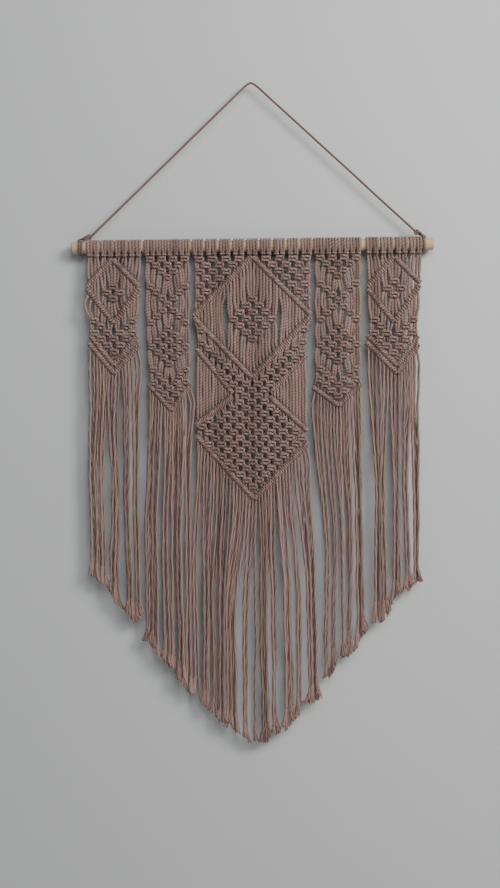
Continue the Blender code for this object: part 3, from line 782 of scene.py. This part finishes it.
# Hitches that tie the hanging cord to the dowel, each drawn as if at the right: the
# ends of the turns along the dowel, their number, where the leg runs on to the dowel,
# and the tail's knot
TURN_STEPS = 12
Hitch = namedtuple("Hitch", "name node side outer inner turns leg knot")
HITCHES = (
    Hitch("hitch_turns_left", "hitch_left", -1, 288.3, 281.3, 3,
          ((264.0, 0.0, -21.9), (270.0, -0.2, -16.6), (277.0, -0.2, -14.9), (284.5, 0.0, -14.2)),
          ((280.6, -2.2, -14.9), (277.4, -3.2, -16.4), (273.6, -2.6, -18.9), (269.6, -0.8, -21.3),
           (267.4, 1.9, -20.9), (268.3, 3.0, -17.3), (271.2, 0.6, -14.3), (274.4, -2.8, -13.7),
           (278.0, -4.0, -13.6))),
    Hitch("hitch_turns_right", "hitch_right", 1, 285.9, 282.2, 2,
          ((269.6, 0.0, -21.7), (274.5, 0.4, -17.6), (279.6, 0.4, -15.4), (283.4, 0.2, -14.4)),
          ((279.8, -2.0, -15.8), (276.4, -1.4, -19.6), (273.6, 2.6, -19.8), (270.9, 1.0, -17.0),
           (271.6, -2.9, -18.2), (274.0, -2.0, -21.9), (272.2, 1.6, -23.2), (269.0, 1.4, -19.4),
           (269.3, -2.2, -17.4), (271.6, -3.6, -16.0))),
)


def make_hitch(hitch, finish):
    """Turns about the dowel, then the tail knotted round the leg."""
    reach = DOWEL_RADIUS + HANGING_RADIUS
    places = list(hitch.leg)
    total = TURN_STEPS * hitch.turns
    for i in range(total + 1):
        turn = math.radians(90 + 360 * i / TURN_STEPS)
        along = hitch.outer + (hitch.inner - hitch.outer) * min(1.0, i / (total - TURN_STEPS))
        places.append((along, -reach * math.cos(turn), -reach * math.sin(turn)))
    places += hitch.knot
    cord = Cord("", 0)
    cord.tone = HANGING_TONE
    cord.places = [(hitch.side * x, y, drop) for x, y, drop in places]
    cord.radii, cord.pieces = [HANGING_RADIUS] * len(places), ["heading"] * len(places)
    pieces = {"heading": Piece()}
    lay_cord(cord, pieces)
    return pieces["heading"].make(hitch.name, finish, "cotton", [hitch.node])


# ------------------------------------------------------------------ materials

class Nodes:
    """A small helper to wire a material's nodes."""

    def __init__(self, name):
        self.material = bpy.data.materials.new(name)
        self.material.use_nodes = True
        self.tree = self.material.node_tree
        self.shader = self.tree.nodes["Principled BSDF"]

    def add(self, kind, inputs=None, **settings):
        node = self.tree.nodes.new(kind)
        for key, value in settings.items():
            setattr(node, key, value)
        for key, value in (inputs or {}).items():
            self.feed(node.inputs[key], value)
        return node

    def feed(self, socket, value):
        if isinstance(value, bpy.types.NodeSocket):
            self.tree.links.new(value, socket)
        else:
            socket.default_value = value

    def math(self, operation, a, b=0.0, clamp=False):
        node = self.add("ShaderNodeMath", operation=operation, use_clamp=clamp)
        self.feed(node.inputs[0], a)
        self.feed(node.inputs[1], b)
        return node.outputs[0]

    def mix(self, share, a, b):
        node = self.add("ShaderNodeMix", data_type="RGBA")
        self.feed(node.inputs["Factor"], share)
        self.feed(node.inputs["A"], a)
        self.feed(node.inputs["B"], b)
        return node.outputs["Result"]


DARK_COTTON, LIGHT_COTTON = (0.132, 0.068, 0.055, 1), (0.348, 0.206, 0.175, 1)
# The groove colour is painted shade: near-black, laid into the grooves between a cord's plies
PAINTED_GROOVE_SHADE, FLECK_COTTON = (0.045, 0.022, 0.018, 1), (0.52, 0.45, 0.42, 1)
PALE_WOOD, TAN_WOOD = (0.61, 0.44, 0.295, 1), (0.46, 0.315, 0.195, 1)
RING_WOOD, GRAIN_WOOD = (0.42, 0.27, 0.15, 1), (0.36, 0.235, 0.14, 1)


def cotton_material():
    """Three-ply twisted cotton: plies that wind round the cord, soft and matt, with painted shade that
    darkens the grooves between the plies.
    """
    n = Nodes("twisted_cotton")
    uv = n.add("ShaderNodeUVMap", uv_map="cord").outputs["UV"]
    parts = n.add("ShaderNodeSeparateXYZ", {"Vector": uv}).outputs
    turn = n.math("ADD", parts["X"], n.math("MULTIPLY", parts["Y"], 1.0 / PLY_TURN_MM))
    wave = n.math("ABSOLUTE", n.math("SINE", n.math("MULTIPLY", turn, math.pi * PLIES)))
    ply = n.math("POWER", wave, 0.6)
    place = n.add("ShaderNodeTexCoord").outputs["Object"]
    fibre_place = n.add("ShaderNodeCombineXYZ", {
        "X": n.math("MULTIPLY", turn, 40.0), "Y": n.math("MULTIPLY", parts["Y"], 0.35)}).outputs[0]
    fibre = n.add("ShaderNodeTexNoise", {"Vector": fibre_place, "Scale": 1.0, "Detail": 3.0,
                                         "Roughness": 0.6}).outputs["Fac"]
    broad = n.add("ShaderNodeTexNoise", {"Vector": place, "Scale": 22.0, "Detail": 3.0}).outputs["Fac"]
    fuzz = n.add("ShaderNodeTexNoise", {"Vector": place, "Scale": 1400.0, "Detail": 2.0}).outputs["Fac"]
    tone = n.add("ShaderNodeAttribute", attribute_name="tone").outputs["Fac"]
    level = n.math("ADD", n.math("MULTIPLY", tone, 0.65), n.math("MULTIPLY", broad, 0.5))
    body = n.mix(n.math("MULTIPLY", level, 1.0, clamp=True), DARK_COTTON, LIGHT_COTTON)
    # Painted shade: the grooves between the plies are darkened towards the groove colour, standing in
    # for the shade that falls into them
    groove_shade_share = n.math("SUBTRACT", 1.0, ply, clamp=True)
    shaded = n.mix(n.math("MULTIPLY", groove_shade_share, 0.75), body, PAINTED_GROOVE_SHADE)
    fleck = n.math("MULTIPLY", n.math("SUBTRACT", fibre, 0.5), 0.75)
    greyed = n.math("MULTIPLY", n.math("FRACT", n.math("MULTIPLY", tone, 7.3)), 0.13)
    final = n.mix(n.math("ADD", fleck, n.math("ADD", greyed, 0.05), clamp=True), shaded, FLECK_COTTON)
    n.feed(n.shader.inputs["Base Color"], final)
    n.feed(n.shader.inputs["Roughness"], n.math("ADD", 0.82, n.math("MULTIPLY", fuzz, 0.2)))
    n.shader.inputs["Specular IOR Level"].default_value = 0.18
    n.shader.inputs["Sheen Weight"].default_value = 0.25
    n.shader.inputs["Sheen Roughness"].default_value = 0.45
    n.shader.inputs["Sheen Tint"].default_value = (0.86, 0.74, 0.68, 1)
    fine = n.math("ADD", n.math("MULTIPLY", fibre, 0.35), n.math("MULTIPLY", fuzz, 0.15))
    height = n.math("ADD", ply, fine)
    bump = n.add("ShaderNodeBump", {"Strength": 0.85, "Distance": 0.0011, "Height": height})
    n.feed(n.shader.inputs["Normal"], bump.outputs["Normal"])
    return n.material


def wood_material():
    """Bare pale wood with grain along the rod and rings on its ends."""
    n = Nodes("bare_wood")
    place = n.add("ShaderNodeTexCoord").outputs["Object"]
    drawn = n.add("ShaderNodeMapping", {"Vector": place, "Scale": (2.4, 46.0, 46.0)}).outputs[0]
    broad = n.add("ShaderNodeTexNoise", {"Vector": drawn, "Scale": 1.6, "Detail": 4.0}).outputs["Fac"]
    fine_place = n.add("ShaderNodeMapping", {"Vector": place, "Scale": (14.0, 620.0, 620.0)}).outputs[0]
    fine = n.add("ShaderNodeTexNoise", {"Vector": fine_place, "Scale": 1.0, "Detail": 4.0,
                                        "Roughness": 0.65}).outputs["Fac"]
    across = n.add("ShaderNodeMapping", {"Vector": place, "Location": (0.0, 0.003, 0.268),
                                         "Scale": (0.0, 1.0, 1.0)}).outputs[0]
    middle_gap = n.add("ShaderNodeVectorMath", {0: across}, operation="LENGTH").outputs["Value"]
    ring_place = n.math("ADD", n.math("MULTIPLY", middle_gap, 2600.0), n.math("MULTIPLY", broad, 9.0))
    rings = n.math("ADD", n.math("MULTIPLY", n.math("SINE", ring_place), 0.5), 0.5)
    pale = n.mix(broad, PALE_WOOD, TAN_WOOD)
    ringed = n.mix(n.math("MULTIPLY", rings, 0.22), pale, RING_WOOD)
    final = n.mix(n.math("MULTIPLY", n.math("POWER", fine, 2.0), 0.55), ringed, GRAIN_WOOD)
    n.feed(n.shader.inputs["Base Color"], final)
    n.feed(n.shader.inputs["Roughness"], n.math("ADD", 0.52, n.math("MULTIPLY", fine, 0.25)))
    n.shader.inputs["Specular IOR Level"].default_value = 0.35
    height = n.math("ADD", fine, rings)
    bump = n.add("ShaderNodeBump", {"Strength": 0.35, "Distance": 0.0004, "Height": height})
    n.feed(n.shader.inputs["Normal"], bump.outputs["Normal"])
    return n.material


def plaster_material(name, colour, see_through_back):
    """Pale matt surround; the wall's far side lets the hanging be seen from behind."""
    n = Nodes(name)
    place = n.add("ShaderNodeTexCoord").outputs["Object"]
    cloud = n.add("ShaderNodeTexNoise", {"Vector": place, "Scale": 1.4, "Detail": 3.0}).outputs["Fac"]
    grain = n.add("ShaderNodeTexNoise", {"Vector": place, "Scale": 160.0, "Detail": 4.0}).outputs["Fac"]
    darker = tuple(c * 0.93 for c in colour)
    n.feed(n.shader.inputs["Base Color"], n.mix(cloud, (*colour, 1), (*darker, 1)))
    n.shader.inputs["Roughness"].default_value = 0.9
    n.shader.inputs["Specular IOR Level"].default_value = 0.2
    bump = n.add("ShaderNodeBump", {"Strength": 0.12, "Distance": 0.0006, "Height": grain})
    n.feed(n.shader.inputs["Normal"], bump.outputs["Normal"])
    if see_through_back:
        clear = n.add("ShaderNodeBsdfTransparent")
        side = n.add("ShaderNodeNewGeometry").outputs["Backfacing"]
        both = n.add("ShaderNodeMixShader")
        n.feed(both.inputs[0], side)
        n.feed(both.inputs[1], n.shader.outputs[0])
        n.feed(both.inputs[2], clear.outputs[0])
        n.feed(n.tree.nodes["Material Output"].inputs["Surface"], both.outputs[0])
    return n.material


# ---------------------------------------------------------------- the studio

# The wall and the floor, in metres
WALL_Y, WALL_TOP, WALL_REACH = 0.0152, 1.6, 2.4
FLOOR_Z, FLOOR_REACH = -1.42, 6


def plane(name, corners, finish):
    """A flat surface that isn't part of the object."""
    mesh = bpy.data.meshes.new(name)
    mesh.from_pydata(corners, [], [(0, 1, 2, 3)])
    mesh.materials.append(finish)
    ob = bpy.data.objects.new(name, mesh)
    bpy.context.scene.collection.objects.link(ob)


def make_stage():
    """The wall behind the hanging and the floor far below it."""
    wall = plaster_material("wall_plaster", (0.56, 0.56, 0.565), True)
    floor = plaster_material("floor_plaster", (0.62, 0.61, 0.60), False)
    reach = WALL_REACH
    plane("studio_wall", [(-reach, WALL_Y, FLOOR_Z), (reach, WALL_Y, FLOOR_Z),
                          (reach, WALL_Y, WALL_TOP), (-reach, WALL_Y, WALL_TOP)], wall)
    reach = FLOOR_REACH
    plane("studio_floor", [(-reach, -reach, FLOOR_Z), (reach, -reach, FLOOR_Z),
                           (reach, reach, FLOOR_Z), (-reach, reach, FLOOR_Z)], floor)


def area_light(name, at, target, size, energy, colour):
    """A soft round light that looks at a target."""
    data = bpy.data.lights.new(name, "AREA")
    data.shape = "DISK"
    data.size = size
    data.energy = energy
    data.color = colour
    ob = bpy.data.objects.new(name, data)
    ob.location = at
    ob.rotation_euler = (Vector(target) - Vector(at)).to_track_quat("-Z", "Y").to_euler()
    bpy.context.scene.collection.objects.link(ob)


def make_lights():
    """A window high at the right, a weaker light in front, and pale air round both."""
    area_light("window", at=(1.65, -1.7, 0.7), target=(0.2, 0, -0.5), size=1.1, energy=65,
               colour=(1.0, 0.96, 0.92))
    area_light("front", at=(0.4, -2.1, 0.7), target=(0.15, 0, -0.65), size=1.3, energy=24,
               colour=(0.95, 0.985, 1.0))
    sky = bpy.data.worlds.new("studio_air")
    sky.use_nodes = True
    air = sky.node_tree.nodes["Background"].inputs
    air["Color"].default_value = (0.78, 0.95, 1.0, 1)
    air["Strength"].default_value = 0.22
    bpy.context.scene.world = sky


# The photo's view: how much of the wall it shows from top to bottom, from how far,
# about which point, and how far it is tilted
VIEW_HEIGHT_M = 1.465
CAMERA_DISTANCE_M = 1.9
VIEW_X, VIEW_Z = -0.008, -0.5955
CAMERA_ROLL = math.radians(-0.65)


def make_camera():
    """A camera square to the wall, as in the photo."""
    data = bpy.data.cameras.new("view")
    data.sensor_width = 36
    data.lens = data.sensor_width * CAMERA_DISTANCE_M / VIEW_HEIGHT_M
    ob = bpy.data.objects.new("view", data)
    ob.location = (VIEW_X, CLOTH_Y * MM - CAMERA_DISTANCE_M, VIEW_Z)
    upright = Matrix.Rotation(math.pi / 2, 3, "X")
    ob.rotation_euler = (upright @ Matrix.Rotation(CAMERA_ROLL, 3, "Z")).to_euler()
    bpy.context.scene.collection.objects.link(ob)
    bpy.context.scene.camera = ob


def main():
    """Builds the hanging, its surround and its view."""
    make_camera()
    cotton, wood = cotton_material(), wood_material()
    line, path, length = make_hanging_cord(cotton)
    hitches = [make_hitch(hitch, cotton) for hitch in HITCHES]
    make_dowel(wood)
    for panel in CORDS:
        make_panel(panel, cotton)
    make_stage()
    make_lights()


main()
